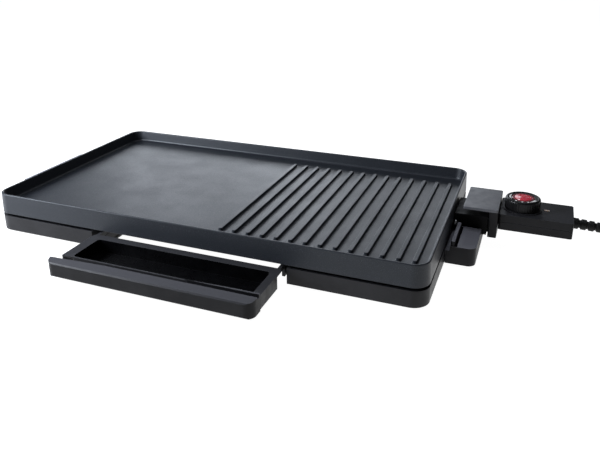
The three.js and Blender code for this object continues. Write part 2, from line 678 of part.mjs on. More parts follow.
// One half of the housing: a rounded tub, open on the side that meets the other half.
function shell(z0, z1, floorAtTop) {
  const { x0, x1, y0, y1, wall } = BODY;
  const outer = slab(roundedRectangle(x0, y0, x1, y1, 2.5), z0, z1, 4);
  const from = floorAtTop ? z0 - 1 : z0 + wall;
  const to = floorAtTop ? z1 - wall : z1 + 1;
  const inner = slab(roundedRectangle(x0 + wall, y0 + wall, x1 - wall, y1 - wall, 1), from, to, 2);
  return cut(outer, inner);
}

const SHAFT_R = 3;
const housingScrews = [[533, BODY.y0 + 7], [588, BODY.y1 - 9]];

function housingBottomGeometry() {
  return cut(
    shell(BODY.z0, BODY.split, false),
    block(
      BODY.x0 - 1, BODY.x0 + BODY.wall + 1,
      AXIS_Y - WIRE_WAY.half, AXIS_Y + WIRE_WAY.half, WIRE_WAY.z0, WIRE_WAY.z1,
    ),
    rodAlongX(5.8, BODY.x1 - BODY.wall - 1, BODY.x1 + 1, BODY_Y, CORD_Z),
    ...housingScrews.map(([x, y]) => cylinder(2, BODY.z0 - 1, BODY.z0 + BODY.wall + 1, x, y, 12)),
  );
}

function housingTopGeometry() {
  const top = join(
    shell(BODY.split + GAP, BODY.z1, true),
    ...housingScrews.map(([x, y]) => cylinder(4, BODY.split + GAP, BODY.z1 - 1, x, y, 12)),
    cylinder(COLLAR.r, BODY.z1 - 1, BODY.z1 + COLLAR.height, KNOB.x, BODY_Y, 40),
  );
  return cut(
    top,
    cylinder(SHAFT_R + 0.5, BODY.z1 - BODY.wall - 1, BODY.z1 + COLLAR.height + 1, KNOB.x, BODY_Y),
    block(LENS_X - 3, LENS_X + 3, BODY_Y + 1.3, BODY_Y + 3.7, BODY.z1 - BODY.wall - 1, BODY.z1 + 1),
    rodAlongX(5.8, BODY.x1 - BODY.wall - 1, BODY.x1 + 1, BODY_Y, CORD_Z),
    ...housingScrews.map(([x, y]) => cylinder(1.8, BODY.split - 1, BODY.split + 6, x, y, 12)),
  );
}

function housingScrewGeometry([x, y]) {
  const geometry = screwGeometry(1.6, 3, BODY.split + 4 - BODY.z0, 0.9);
  geometry.rotateX(Math.PI);
  geometry.translate(x, y, BODY.z0 - GAP);
  return geometry;
}

function thermostatGeometry() {
  const plate = block(KNOB.x - 15, KNOB.x + 13, BODY_Y - 13, BODY_Y + 13, BODY.z0 + 3, BODY.z0 + 9);
  const boss = cylinder(6, BODY.z0 + 8, BODY.z1 - BODY.wall - 1.5, KNOB.x, BODY_Y, 12);
  return cut(join(plate, boss), cylinder(SHAFT_R + 0.4, BODY.z0 + 5, BODY.z1, KNOB.x, BODY_Y, 12));
}

function lensGeometry() {
  return block(LENS_X - 2.6, LENS_X + 2.6, BODY_Y + 1.7, BODY_Y + 3.3, BODY.z1 - BODY.wall, BODY.z1 + 0.4);
}

function lampGeometry() {
  return cylinder(2.5, BODY.z0 + BODY.wall + 1, BODY.z1 - BODY.wall - 0.6, LENS_X, BODY_Y + 2.5, 12);
}

function clampGeometry() {
  return cut(
    block(584, 593.5, BODY_Y - 9, BODY_Y + 9, BODY.z0 + BODY.wall + GAP, BODY.z1 - BODY.wall - GAP),
    rodAlongX(CORD_R + GAP, 583, 595, BODY_Y, CORD_Z, 12),
  );
}

// Ribbed sleeve, thinner towards the cord, leaning down a little from the housing's end.
const STRAIN = { seat: 2.6, seatR: 5.4, r: 5.7, taper: 0.17, groove: 1, ribs: 5 };

function strainReliefGeometry() {
  const bore = CORD_R + GAP;
  const pitch = (STRAIN_TIP_X - BODY.x1 - 1) / STRAIN.ribs;
  const profile = [[bore, -STRAIN.seat], [STRAIN.seatR, -STRAIN.seat], [STRAIN.seatR, 0.4]];
  for (let i = 0; i < STRAIN.ribs; i += 1) {
    const x = 0.4 + i * pitch;
    const r = STRAIN.r - i * STRAIN.taper;
    const low = r - STRAIN.groove;
    profile.push([r, x + 0.4], [r, x + pitch * 0.62], [low, x + pitch * 0.7], [low, x + pitch]);
  }
  profile.push([bore, STRAIN_TIP_X - BODY.x1 - 0.6], [bore, -STRAIN.seat]);
  const geometry = turnedAlongX(profile, 0, 0, 14);
  geometry.rotateY(CORD_DROOP);
  geometry.translate(BODY.x1, BODY_Y, CORD_Z);
  return geometry;
}

function controllerGroup() {
  const group = new THREE.Group();
  group.add(piece('controller_roof', roofGeometry(), 'roof'));
  group.add(piece('controller_neck', neckGeometry(), 'plastic'));
  group.add(piece('contact_carrier', carrierGeometry(), 'plastic'));
  pinYs.forEach((y, i) => {
    const socket = tubeAlongX(SOCKET_R, PIN_R + GAP, CARRIER.x0 + 1, CARRIER.x0 + 26, y, AXIS_Z);
    group.add(piece(`contact_socket_${i + 1}`, socket, 'brass'));
  });
  group.add(piece('probe_rod', rodAlongX(PROBE_R, 448, CARRIER.x1 + 2, AXIS_Y, PROBE_Z, 12), 'steel'));
  group.add(piece('housing_bottom', housingBottomGeometry(), 'plastic'));
  group.add(piece('housing_top', housingTopGeometry(), 'plastic'));
  group.add(piece('thermostat_unit', thermostatGeometry(), 'aluminised'));
  group.add(piece('pilot_lamp', lampGeometry(), 'paleLens'));
  group.add(piece('indicator_lens', lensGeometry(), 'paleLens'));
  group.add(piece('cord_clamp', clampGeometry(), 'plastic'));
  housingScrews.forEach((place, i) => {
    group.add(piece(`housing_screw_${i + 1}`, housingScrewGeometry(place), 'steel'));
  });
  group.add(piece('strain_relief', strainReliefGeometry(), 'rubber'));
  return group;
}

// ---- Knob group
function knobGeometry() {
  const { x, r, z0, z1, teeth } = KNOB;
  const outline = [];
  for (let i = 0; i < teeth; i += 1) {
    for (const [share, radius] of [[0, r], [0.5, r - 0.7]]) {
      const angle = ((i + share) / teeth) * 2 * Math.PI;
      outline.push([x + radius * Math.cos(angle), BODY_Y + radius * Math.sin(angle)]);
    }
  }
  const grip = slab(polygon(outline), z0, z1 - 1);
  const cap = [[0, z1 - 1.5], [r - 1.2, z1 - 1.5], [r - 1.2, z1 - 0.6], [r - 2.4, z1], [0, z1]];
  const top = turned(cap, x, BODY_Y, 32);
  const recess = cylinder(KNOB_LENS_R + GAP, z1 - 2, z1 + 1, x, BODY_Y, 24);
  const bore = cylinder(SHAFT_R + GAP, z0 - 1, z1 - 3.5, x, BODY_Y, 12);
  return cut(join(grip, top), recess, bore);
}

const KNOB_LENS_R = 11.2;

function knobLensGeometry() {
  const { z1 } = KNOB;
  const low = z1 - 2 + GAP;
  const r = KNOB_LENS_R;
  return turned([[0, low], [r, low], [r, z1 - 0.4], [r - 3, z1 + 0.2], [0, z1 + 0.4]], KNOB.x, BODY_Y, 24);
}

function knobGroup() {
  const group = new THREE.Group();
  group.add(piece('knob', knobGeometry(), 'gloss'));
  group.add(piece('knob_lens', knobLensGeometry(), 'redLens'));
  const shaft = cylinder(SHAFT_R, BODY.z0 + 5.4, KNOB.z1 - 3.9, KNOB.x, BODY_Y, 12);
  group.add(piece('thermostat_shaft', shaft, 'brass'));
  return group;
}

// ---- Cord
const coilY = CORD_POINTS.at(-1)[1] - (COIL.outer - CORD_R);
const PLUG = { sleeveEnd: COIL.x - 20, y: coilY - COIL.outer - 1, length: 42, r: 17 };

function cordLeadGeometry() {
  const points = CORD_POINTS.map((point) => new THREE.Vector3(...point));
  const curve = new THREE.CatmullRomCurve3(points, false, 'centripetal');
  const steps = 14;
  const stations = Array.from({ length: steps + 1 }, (_, i) => (
    [curve.getPointAt(i / steps), curve.getTangentAt(i / steps)]
  ));
  return ringSolid(stations, CORD_R, 10);
}

function coilGeometry() {
  const { outer, inner, height } = COIL;
  const z0 = SURFACE_Z;
  const z1 = SURFACE_Z + height;
  const c = 3;
  const bands = turned([
    [inner, z0 + c], [inner + c, z0], [outer - c, z0], [outer, z0 + c],
    [outer, z1 - c], [outer - c, z1], [inner + c, z1], [inner, z1 - c], [inner, z0 + c],
  ], COIL.x, coilY, 28);
  const rear = coilY + outer;
  const leadWay = block(COIL.x - outer - 2, COIL.x + 1, rear - 2 * CORD_R - 1, rear + 2, z0 - 1, z1 + 1);
  return cut(bands, leadWay);
}

function tieGeometry() {
  const { outer, inner, height } = COIL;
  const t = 1;
  const x0 = COIL.x + inner - 4 * GAP - t;
  const x1 = COIL.x + outer + GAP + t;
  const top = SURFACE_Z + height + GAP + t;
  const band = block(x0, x1, coilY - 4, coilY + 4, SURFACE_Z, top);
  const inside = block(x0 + t, x1 - t, coilY - 5, coilY + 5, SURFACE_Z - 1, top - t);
  return cut(band, inside);
}

function plugGeometry() {
  const z = SURFACE_Z + PLUG.r;
  const x1 = PLUG.sleeveEnd;
  const x0 = x1 - PLUG.length;
  return turnedAlongX([
    [0, x0], [PLUG.r, x0], [PLUG.r, x0 + 14], [11, x0 + 26], [5.5, x1 - 10], [4.6, x1], [0, x1],
  ], PLUG.y, z, 16);
}

function plugPinGeometry(dy) {
  const x1 = PLUG.sleeveEnd - PLUG.length - GAP;
  return rodAlongX(2.4, x1 - 19, x1, PLUG.y + dy, SURFACE_Z + PLUG.r, 10);
}

function cordGroup() {
  const group = new THREE.Group();
  group.add(piece('cord_lead', cordLeadGeometry(), 'rubber'));
  group.add(piece('cord_coil', coilGeometry(), 'rubber'));
  group.add(piece('cord_tie', tieGeometry(), 'plastic'));
  group.add(piece('plug_body', plugGeometry(), 'rubber'));
  [-9.5, 9.5].forEach((dy, i) => group.add(piece(`plug_pin_${i + 1}`, plugPinGeometry(dy), 'brass')));
  return group;
}

// ---- Assembly: the origin is under the middle of the object without its cord, on the surface it stands on
const X_RANGE = [-HANDLE_OUT, STRAIN_TIP_X];
const Y_RANGE = [TRAY_FRONT_Y, WIDTH];
const griddle = new THREE.Group();
griddle.add(plateGroup(), baseGroup(), trayGroup(), controllerGroup(), knobGroup(), cordGroup());
griddle.position.set(-(X_RANGE[0] + X_RANGE[1]) / 2, -(Y_RANGE[0] + Y_RANGE[1]) / 2, FOOT_HEIGHT);

export default griddle;
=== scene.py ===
"""Electric table griddle: the finished look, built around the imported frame.

Lengths are millimetres in the frame's own axes until a mesh is made, and metres after that.
"""
import json
import math
import bmesh
import bpy
from mathutils import Matrix, Vector


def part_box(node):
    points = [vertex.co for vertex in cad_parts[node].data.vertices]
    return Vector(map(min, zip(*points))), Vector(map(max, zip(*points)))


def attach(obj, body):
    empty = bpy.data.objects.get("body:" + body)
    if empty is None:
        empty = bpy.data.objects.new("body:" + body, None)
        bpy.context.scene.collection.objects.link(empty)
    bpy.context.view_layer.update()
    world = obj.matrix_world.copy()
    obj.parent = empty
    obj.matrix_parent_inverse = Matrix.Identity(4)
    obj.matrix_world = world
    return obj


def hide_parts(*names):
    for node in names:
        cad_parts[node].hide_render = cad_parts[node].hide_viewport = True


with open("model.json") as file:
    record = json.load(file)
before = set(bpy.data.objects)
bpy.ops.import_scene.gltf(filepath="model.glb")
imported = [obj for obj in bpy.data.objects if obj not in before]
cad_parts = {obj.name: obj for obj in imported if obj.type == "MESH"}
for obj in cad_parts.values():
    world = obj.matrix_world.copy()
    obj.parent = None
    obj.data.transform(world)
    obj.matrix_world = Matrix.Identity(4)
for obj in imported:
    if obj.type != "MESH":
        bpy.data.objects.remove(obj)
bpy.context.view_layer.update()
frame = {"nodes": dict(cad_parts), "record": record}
MM = 0.001
BODY_OF = {node: body for body, nodes in frame["record"]["behaviour"]["bodies"].items() for node in nodes}
SLOT_OF = {part["node"]: part["material_slot"] for part in frame["record"]["subparts"]}


def extent(node):
    """Lowest and highest corner of a node, in millimetres."""
    low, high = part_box(node)
    return low / MM, high / MM


# ---- Camera, its place in metres and its angles in degrees
CAMERA_PLACE = (0.24935, -0.5804, 0.3069)
CAMERA_TURN = 21.08
CAMERA_DOWN = 19.03
CAMERA_ROLL = -0.15
CAMERA_LENS = 38.03
CAMERA_SENSOR = 36
CAMERA_SHIFT = (-0.006, -0.1089)


def make_camera():
    data = bpy.data.cameras.new("camera")
    data.lens = CAMERA_LENS
    data.sensor_width = CAMERA_SENSOR
    data.shift_x, data.shift_y = CAMERA_SHIFT
    camera = bpy.data.objects.new("camera", data)
    turn = Matrix.Rotation(math.radians(CAMERA_TURN), 4, "Z")
    tilt = Matrix.Rotation(math.radians(90 - CAMERA_DOWN), 4, "X")
    roll = Matrix.Rotation(math.radians(CAMERA_ROLL), 4, "Z")
    camera.matrix_world = Matrix.Translation(CAMERA_PLACE) @ turn @ tilt @ roll
    bpy.context.scene.collection.objects.link(camera)
    bpy.context.scene.camera = camera


# ---- Mesh helpers
SMALLEST_CORNER = 0.05
CORNER_SHARE = 0.45
WELD_METRES = 1e-6
FLAT_ANGLE = math.radians(1)
BEVEL_ANGLE = math.radians(35)
BEVEL_SEGMENTS = 2


def mesh_object(name, points, faces):
    mesh = bpy.data.meshes.new(name)
    mesh.from_pydata([Vector(point) * MM for point in points], [], faces)
    obj = bpy.data.objects.new(name, mesh)
    bpy.context.scene.collection.objects.link(obj)
    return obj


def loft(name, rings):
    """A closed body skinned over rings of equal length, with a flat face on each end."""
    count = len(rings[0])
    faces = []
    for low in range(0, (len(rings) - 1) * count, count):
        for k in range(count):
            following = (k + 1) % count
            faces.append((low + k, low + following, low + count + following, low + count + k))
    last = (len(rings) - 1) * count
    faces.append(tuple(reversed(range(count))))
    faces.append(tuple(range(last, last + count)))
    return mesh_object(name, [point for ring in rings for point in ring], faces)


def arc_points(cx, cy, radius, start, end, steps):
    """Points on an arc, its angles in degrees."""
    angles = [math.radians(start + (end - start) * i / steps) for i in range(steps + 1)]
    return [(cx + radius * math.cos(a), cy + radius * math.sin(a)) for a in angles]


def rounded_ring(low, high, inset, radius, z, steps):
    """A level rounded rectangle, pulled in by inset from the corners low and high."""
    x0, y0, x1, y1 = low[0] + inset, low[1] + inset, high[0] - inset, high[1] - inset
    r = max(radius - inset, SMALLEST_CORNER)
    corners = [(x1 - r, y0 + r, -90), (x1 - r, y1 - r, 0), (x0 + r, y1 - r, 90), (x0 + r, y0 + r, 180)]
    plan = [point for cx, cy, a in corners for point in arc_points(cx, cy, r, a, a + 90, steps)]
    return [(x, y, z) for x, y in plan]


def soften(points, radii, steps=4):
    """The same open outline with its corners rounded: one radius for all, or a list with one for each.

    No corner takes more than CORNER_SHARE of the shorter line next to it.
    """
    if not isinstance(radii, list):
        radii = [radii] * (len(points) - 2)
    result = [points[0]]
    for before, corner, after, radius in zip(points, points[1:], points[2:], radii):
        b, c, a = Vector(before), Vector(corner), Vector(after)
        reach = min(radius, (b - c).length * CORNER_SHARE, (a - c).length * CORNER_SHARE)
        start = c + (b - c).normalized() * reach
        end = c + (a - c).normalized() * reach
        for i in range(steps + 1):
            t = i / steps
            result.append(tuple(start * (1 - t) ** 2 + c * 2 * t * (1 - t) + end * t ** 2))
    return result + [points[-1]]


def lathe(name, profile, place, sides):
    """A profile of (radius, height) pairs turned about Z, then placed by a matrix in millimetres."""
    rings = []
    for radius, height in profile:
        plan = arc_points(0, 0, radius, 0, 360 * (1 - 1 / sides), sides - 1)
        rings.append([place @ Vector((x, y, height)) for x, y in plan])
    return loft(name, rings)


def along_x(x, y, z):
    """Places a turned profile so that its height runs along +X."""
    return Matrix.Translation((x, y, z)) @ Matrix.Rotation(math.pi / 2, 4, "Y")


def settle(obj):
    """Applies the object's modifiers to its mesh."""
    evaluated = obj.evaluated_get(bpy.context.evaluated_depsgraph_get())
    mesh = bpy.data.meshes.new_from_object(evaluated)
    obj.modifiers.clear()
    obj.data = mesh


def combine(obj, tool, operation):
    """Joins or cuts obj with tool, which is then removed."""
    modifier = obj.modifiers.new("combine", "BOOLEAN")
    modifier.operation = operation
    modifier.solver = "EXACT"
    modifier.object = tool
    bpy.context.view_layer.update()
    settle(obj)
    bpy.data.objects.remove(tool)


def bevel_edges(obj, width):
    """Rounds the edges that turn by more than BEVEL_ANGLE."""
    work = bmesh.new()
    work.from_mesh(obj.data)
    bmesh.ops.remove_doubles(work, verts=work.verts, dist=WELD_METRES)
    bmesh.ops.dissolve_limit(work, angle_limit=FLAT_ANGLE, verts=work.verts, edges=work.edges)
    edges = [
        edge for edge in work.edges
        if len(edge.link_faces) == 2 and edge.calc_face_angle(0) > BEVEL_ANGLE
    ]
    bmesh.ops.bevel(
        work, geom=edges, offset=width * MM, segments=BEVEL_SEGMENTS, profile=0.5, affect="EDGES",
        clamp_overlap=True, offset_type="OFFSET", miter_outer="SHARP",
    )
    work.to_mesh(obj.data)
    work.free()


def polish(obj, angle=40):
    """Smooth shading that keeps flat faces flat and hard edges hard."""
    work = bmesh.new()
    work.from_mesh(obj.data)
    bmesh.ops.recalc_face_normals(work, faces=work.faces)
    work.to_mesh(obj.data)
    work.free()
    obj.data.shade_smooth()
    obj.data.set_sharp_from_angle(angle=math.radians(angle))
    modifier = obj.modifiers.new("weighted", "WEIGHTED_NORMAL")
    modifier.keep_sharp = True


def adopt(obj, *nodes):
    """The piece stands for these nodes: their body, slot and finish."""
    first = nodes[0]
    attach(obj, BODY_OF[first])
    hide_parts(*nodes)
    if not obj.data.materials:
        obj.data.materials.append(OWN_FINISH.get(first, FINISHES[SLOT_OF[first]]))
    return obj


def refined(node, bevel):
    """A copy of a node's own mesh with its edges rounded."""
    obj = bpy.data.objects.new(f"{node}_fine", frame["nodes"][node].data.copy())
    obj.data.materials.clear()
    bpy.context.scene.collection.objects.link(obj)
    bevel_edges(obj, bevel)
    polish(obj)
    return adopt(obj, node)


# ---- Finishes: sizes, grain and relief in millimetres
# painted highlight: share of the lighter edge colour mixed in along sharp edges
EDGE_HIGHLIGHT = 0.35
EDGE_WIDTH = 0.7
# sockets of a Mix node that carry its colours
MIX_FACTOR, MIX_FIRST, MIX_SECOND, MIX_RESULT = 0, 6, 7, 2


class Finish:
    """A Principled material whose colour, roughness and relief vary over the part."""

    def __init__(self, name, **sockets):
        self.material = bpy.data.materials.new(name)
        self.material.use_nodes = True
        self.tree = self.material.node_tree
        self.shader = self.tree.nodes["Principled BSDF"]
        for socket, value in sockets.items():
            self.shader.inputs[socket.replace("_", " ")].default_value = value
        self.place = self.node("ShaderNodeTexCoord").outputs["Object"]

    def node(self, kind, values=None, **properties):
        node = self.tree.nodes.new(kind)
        for key, value in properties.items():
            setattr(node, key, value)
        for socket, value in (values or {}).items():
            self.feed(node.inputs[socket], value)
        return node

    def feed(self, socket, value):
        """Sets a socket to a value, or links an output to it."""
        if isinstance(value, bpy.types.NodeSocket):
            self.tree.links.new(value, socket)
        else:
            socket.default_value = value

    def noise(self, size, detail=3.0, stretch=(1, 1, 1)):
        """Noise with features of about size millimetres."""
        mapping = self.node("ShaderNodeMapping", {"Vector": self.place, "Scale": stretch})
        noise = self.node("ShaderNodeTexNoise", {
            "Vector": mapping.outputs["Vector"], "Scale": 1 / (size * MM), "Detail": detail,
        })
        return noise.outputs["Fac"]

    def between(self, factor, low, high, start=0.35, end=0.65):
        """Maps factor, from start to end, onto low to high."""
        return self.node("ShaderNodeMapRange", {
            "Value": factor, "From Min": start, "From Max": end, "To Min": low, "To Max": high,
        }).outputs["Result"]

    def edges(self, radius):
        """About 1 along sharp edges and 0 elsewhere."""
        bevel = self.node("ShaderNodeBevel", {"Radius": radius * MM}, samples=4)
        flat = self.node("ShaderNodeNewGeometry")
        match = self.node("ShaderNodeVectorMath", {
            0: bevel.outputs["Normal"], 1: flat.outputs["Normal"],
        }, operation="DOT_PRODUCT")
        return self.between(match.outputs["Value"], 1, 0, 0.9, 0.995)

    def painted_top_light(self):
        """1 on faces that look up and 0 on upright ones: the mask for light painted on top faces."""
        normal = self.node("ShaderNodeNewGeometry").outputs["Normal"]
        height = self.node("ShaderNodeSeparateXYZ", {"Vector": normal}).outputs["Z"]
        return self.between(height, 0, 1, 0.6, 0.95)

    def blend(self, factor, first, second):
        """Mixes a colour, or an output that carries one, with a second colour."""
        mix = self.node("ShaderNodeMix", data_type="RGBA")
        self.feed(mix.inputs[MIX_FACTOR], factor)
        self.feed(mix.inputs[MIX_FIRST], first if isinstance(first, bpy.types.NodeSocket) else (*first, 1))
        self.feed(mix.inputs[MIX_SECOND], (*second, 1))
        return mix.outputs[MIX_RESULT]

    def colour(self, value):
        self.feed(self.shader.inputs["Base Color"], value)

    def roughness(self, value):
        self.feed(self.shader.inputs["Roughness"], value)

    def glow(self, colour, strength):
        self.shader.inputs["Emission Color"].default_value = (*colour, 1)
        self.shader.inputs["Emission Strength"].default_value = strength

    def relief(self, height, depth, strength):
        bump = self.node("ShaderNodeBump", {"Height": height, "Distance": depth * MM, "Strength": strength})
        self.feed(self.shader.inputs["Normal"], bump.outputs["Normal"])


def moulded(name, dark, light, edge_highlight, rough, grain, depth, gloss=0.5, top=None):
    """A plain skin: fine grain, uneven gloss, edges painted lighter as a highlight, and, if top is given,
    faces that look up painted lighter as light from above.
    """
    finish = Finish(name, Specular_IOR_Level=gloss)
    # painted highlight: sharp edges are mixed towards the lighter edge colour
    edge = finish.node("ShaderNodeMath", {0: finish.edges(EDGE_WIDTH), 1: EDGE_HIGHLIGHT}, operation="MULTIPLY")
    cloud = finish.between(finish.noise(22), 0, 1)
    base = finish.blend(cloud, dark, light)
    # painted light: faces that look up are blended towards the lighter top colour
    if top:
        base = finish.blend(finish.painted_top_light(), base, top)
    finish.colour(finish.blend(edge.outputs[0], base, edge_highlight))
    finish.roughness(finish.between(finish.noise(7, 4), rough - 0.05, rough + 0.05))
    finish.relief(finish.noise(grain, 2), depth, 0.6)
    return finish.material


def cast_coating(name):
    """Non-stick coating over a casting: satin, with a fine speckle."""
    finish = Finish(name, Specular_Tint=(0.92, 0.96, 1.0, 1), Specular_IOR_Level=0.27)
    speckle = finish.between(finish.noise(0.55, 2), 0, 1, 0.55, 0.75)
    finish.colour(finish.blend(speckle, (0.013, 0.015, 0.019), (0.038, 0.041, 0.049)))
    patch = finish.between(finish.noise(30, 4), -0.025, 0.025)
    fleck = finish.between(finish.noise(0.8, 3), 0.36, 0.46)
    total = finish.node("ShaderNodeMath", {0: patch, 1: fleck}, operation="ADD")
    finish.roughness(total.outputs[0])
    finish.relief(finish.noise(0.9, 3), 0.05, 0.35)
    return finish.material


def metal(name, dark, light, rough, stretch=(1, 1, 1)):
    """Bare metal with drawing or rolling marks."""
    finish = Finish(name, Metallic=1.0)
    finish.colour(finish.blend(finish.noise(3, 4, stretch), dark, light))
    finish.roughness(finish.between(finish.noise(1.5, 4, stretch), rough - 0.08, rough + 0.1))
    finish.relief(finish.noise(0.6, 2, stretch), 0.02, 0.5)
    return finish.material


def lens(name, dark, light, glow=0.0):
    """Clear moulded plastic, brighter in places where light runs inside it."""
    finish = Finish(name, Coat_Weight=0.6, Coat_Roughness=0.08, Subsurface_Weight=0.2, Subsurface_Scale=0.002)
    finish.colour(finish.blend(finish.noise(1.6, 3), dark, light))
    finish.roughness(finish.between(finish.noise(2.5, 3), 0.18, 0.3))
    finish.relief(finish.noise(1.2, 2), 0.03, 0.5)
    # glow gives a lens light of its own colour; on the knob's red lens, which is no lamp, this is painted
    # light
    if glow:
        finish.glow(light, glow)
    return finish.material


def print_white(name):
    """White print, a little uneven."""
    finish = Finish(name)
    finish.colour(finish.blend(finish.noise(0.8, 3), (0.62, 0.6, 0.58), (0.85, 0.84, 0.82)))
    finish.roughness(finish.between(finish.noise(1.0, 2), 0.4, 0.55))
    return finish.material


FINISHES = {
    "nonstick": cast_coating("nonstick"),
    "plastic": moulded(
        "plastic", dark=(0.010, 0.010, 0.0115), light=(0.015, 0.015, 0.017),
        edge_highlight=(0.05, 0.05, 0.055), rough=0.45, grain=0.5, depth=0.03, gloss=0.18,
    ),
    # top is painted light: the handles' top faces are painted lighter
    "soft_plastic": moulded(
        "soft_plastic", dark=(0.007, 0.007, 0.009), light=(0.011, 0.011, 0.013),
        edge_highlight=(0.09, 0.09, 0.1), rough=0.5, grain=0.45, depth=0.04, gloss=0.16, top=(0.2, 0.2, 0.23),
    ),
    "roof": moulded(
        "roof", dark=(0.060, 0.062, 0.070), light=(0.072, 0.074, 0.083),
        edge_highlight=(0.15, 0.15, 0.17), rough=0.42, grain=0.5, depth=0.03, gloss=0.38,
    ),
    "gloss": moulded(
        "gloss", dark=(0.003, 0.003, 0.0035), light=(0.006, 0.006, 0.0065),
        edge_highlight=(0.03, 0.03, 0.03), rough=0.3, grain=0.9, depth=0.015, gloss=0.16,
    ),
    "tray_black": moulded(
        "tray_black", dark=(0.001, 0.001, 0.0013), light=(0.0018, 0.0018, 0.0022),
        edge_highlight=(0.012, 0.012, 0.013), rough=0.3, grain=0.8, depth=0.02, gloss=0.1,
    ),
    "steel": metal("steel", (0.50, 0.51, 0.52), (0.68, 0.69, 0.70), 0.3),
    "aluminised": metal("aluminised", (0.42, 0.43, 0.44), (0.6, 0.61, 0.62), 0.42, (0.15, 1, 1)),
    "sheath": metal("sheath", (0.10, 0.085, 0.07), (0.27, 0.24, 0.2), 0.55),
    "brass": metal("brass", (0.55, 0.42, 0.18), (0.75, 0.6, 0.32), 0.28),
    "ceramic": moulded(
        "ceramic", dark=(0.72, 0.69, 0.62), light=(0.84, 0.81, 0.75),
        edge_highlight=(0.9, 0.88, 0.84), rough=0.62, grain=0.7, depth=0.05,
    ),
    "rubber": moulded(
        "rubber", dark=(0.006, 0.006, 0.006), light=(0.011, 0.011, 0.011),
        edge_highlight=(0.03, 0.03, 0.03), rough=0.55, grain=0.4, depth=0.04, gloss=0.2,
    ),
    # the red lens glows: painted light, as the knob's lens is no lamp
    "red_lens": lens("red_lens", (0.36, 0.012, 0.03), (0.62, 0.03, 0.06), 0.12),
    "pale_lens": lens("pale_lens", (0.70, 0.50, 0.42), (0.92, 0.74, 0.66), 0.1),
}
# top is painted light: the controller's top faces are painted lighter
BLACK_PLASTIC = moulded(
    "black_plastic", dark=(0.004, 0.004, 0.0045), light=(0.007, 0.007, 0.008),
    edge_highlight=(0.05, 0.05, 0.055), rough=0.45, grain=0.5, depth=0.03, gloss=0.16, top=(0.02, 0.02, 0.023),
)
# top is painted light: the drip tray's upward faces are painted lighter
ROUGH_ENAMEL = moulded(
    "rough_enamel", dark=(0.008, 0.008, 0.009), light=(0.013, 0.013, 0.015),
    edge_highlight=(0.09, 0.09, 0.095), rough=0.5, grain=0.7, depth=0.04, gloss=0.25, top=(0.022, 0.022, 0.025),
)
# top is painted light: the tray front's upper ledge is painted lighter
TRAY_HANDLE = moulded(
    "tray_handle", dark=(0.005, 0.005, 0.006), light=(0.009, 0.009, 0.010),
    edge_highlight=(0.05, 0.05, 0.055), rough=0.45, grain=0.5, depth=0.03, gloss=0.13, top=(0.05, 0.05, 0.056),
)
# painted shade: a darker copy of the black plastic for parts that sit in shadow under the controller's roof
PAINTED_SHADE_BLACK = moulded(
    "painted_shade_black", dark=(0.0015, 0.0015, 0.0017), light=(0.003, 0.003, 0.0034),
    edge_highlight=(0.03, 0.03, 0.033), rough=0.5, grain=0.5, depth=0.03, gloss=0.08,
)
OWN_FINISH = dict.fromkeys(["controller_neck", "housing_bottom", "housing_top"], BLACK_PLASTIC)
# painted shade: the terminal guard and contact carrier get the darker black
OWN_FINISH |= dict.fromkeys(["terminal_guard", "contact_carrier"], PAINTED_SHADE_BLACK)
OWN_FINISH["tray_front"] = TRAY_HANDLE
RED_RING = lens("red_ring", (0.13, 0.006, 0.014), (0.2, 0.01, 0.02))
PRINT = print_white("dial_print")


# ---- Cord: out of the strain relief, down to the surface and into a coil, with the plug beside it
CORD_R = 3.5
SURFACE_GAP = 0.05
COIL_TURNS = 5.5
STEPS_PER_TURN = 20
# turns at which the lead moves one pitch inwards or outwards, and the part of a turn that it takes
INWARD_AT = (1, 2)
OUTWARD_AT = (4, 5)
PITCH_SPAN = 0.3
# where it climbs onto the lower layer, and where it leaves the coil for the plug
CLIMB_AT, CLIMB_SPAN = 2.8, 0.35
LEAVE_AT, LEAVE_SPAN = 5.2, 0.3
LEAVE_OUT, LEAVE_UP = 3, 4
BODY_Y = (extent("housing_top")[0].y + extent("housing_top")[1].y) / 2
CORD_ROUTE = [
    (306, BODY_Y, 30.37),
    (314.75, BODY_Y, 29.9),
    (325, BODY_Y, 29.37),
    (334.75, BODY_Y, 28.85),
    (341, BODY_Y - 0.1, 28.2),
    (346.75, BODY_Y - 0.3, 27.1),
    (352.5, BODY_Y - 0.5, 25.2),
    (357.75, BODY_Y - 0.8, 22.6),
    (363.3, BODY_Y - 1, 19.4),
    (368.75, BODY_Y - 1.2, 16),
    (374.2, BODY_Y - 1.4, 12.6),
    (379.75, BODY_Y - 1.5, 9.4),
    (385.2, BODY_Y - 1.6, 6.8),
    (390.75, BODY_Y - 1.7, 5),
    (395.7, BODY_Y - 1.8, 4.1),
    (400.75, BODY_Y - 1.8, 3.8),
    (407.75, BODY_Y - 1.8, 3.6),
]


def smooth_step(t):
    t = min(max(t, 0.0), 1.0)
    return t * t * (3 - 2 * t)


def coil_points():
    """Three turns on the surface, wound inwards, then two and a half on top of them, wound out again."""
    low, high = extent("cord_coil")
    centre = (low + high) / 2
    outer = (high.x - low.x) / 2 - CORD_R
    pitch = 2 * CORD_R
    points = []
    for i in range(1, int(COIL_TURNS * STEPS_PER_TURN) + 1):
        t = i / STEPS_PER_TURN
        steps_in = sum(smooth_step((t - k) / PITCH_SPAN) for k in INWARD_AT)
        steps_out = sum(smooth_step((t - k) / PITCH_SPAN) for k in OUTWARD_AT)
        climb = smooth_step((t - CLIMB_AT) / CLIMB_SPAN)
        leave = smooth_step((t - LEAVE_AT) / LEAVE_SPAN)
        radius = outer - pitch * (steps_in - steps_out) + LEAVE_OUT * leave
        angle = math.pi / 2 - 2 * math.pi * t
        points.append((
            centre.x + radius * math.cos(angle),
            centre.y + radius * math.sin(angle),
            CORD_R + SURFACE_GAP + pitch * climb + LEAVE_UP * leave,
        ))
    return points


